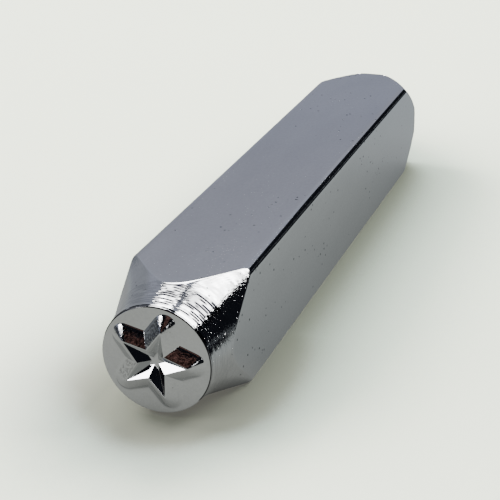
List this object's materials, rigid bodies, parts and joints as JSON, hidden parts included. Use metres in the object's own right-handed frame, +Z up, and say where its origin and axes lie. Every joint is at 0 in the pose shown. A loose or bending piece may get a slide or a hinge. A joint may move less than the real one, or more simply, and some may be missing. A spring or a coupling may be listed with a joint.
{
  "type": "stamping punch",
  "caption": "Square steel hand punch with a turned neck, a raised hollow-faceted star on its round die face, and a chamfered end to strike, plated all over.",
  "frame": {"origin": "middle of the flat that the punch lies on, under the middle of its whole length", "axes": "+Y along the punch from the star to the struck end, +Z up from the resting flat, +X to the right seen from the star's end"},
  "size_m": [0.01, 0.0632, 0.01],
  "materials": {
    "steel": "turned and polished steel, hidden under the plating",
    "plating": "bright plating over turning marks and fine pits"
  },
  "bodies": {
    "root": {"steel_body": "steel", "plated_skin": "plating"}
  },
  "joints": []
}
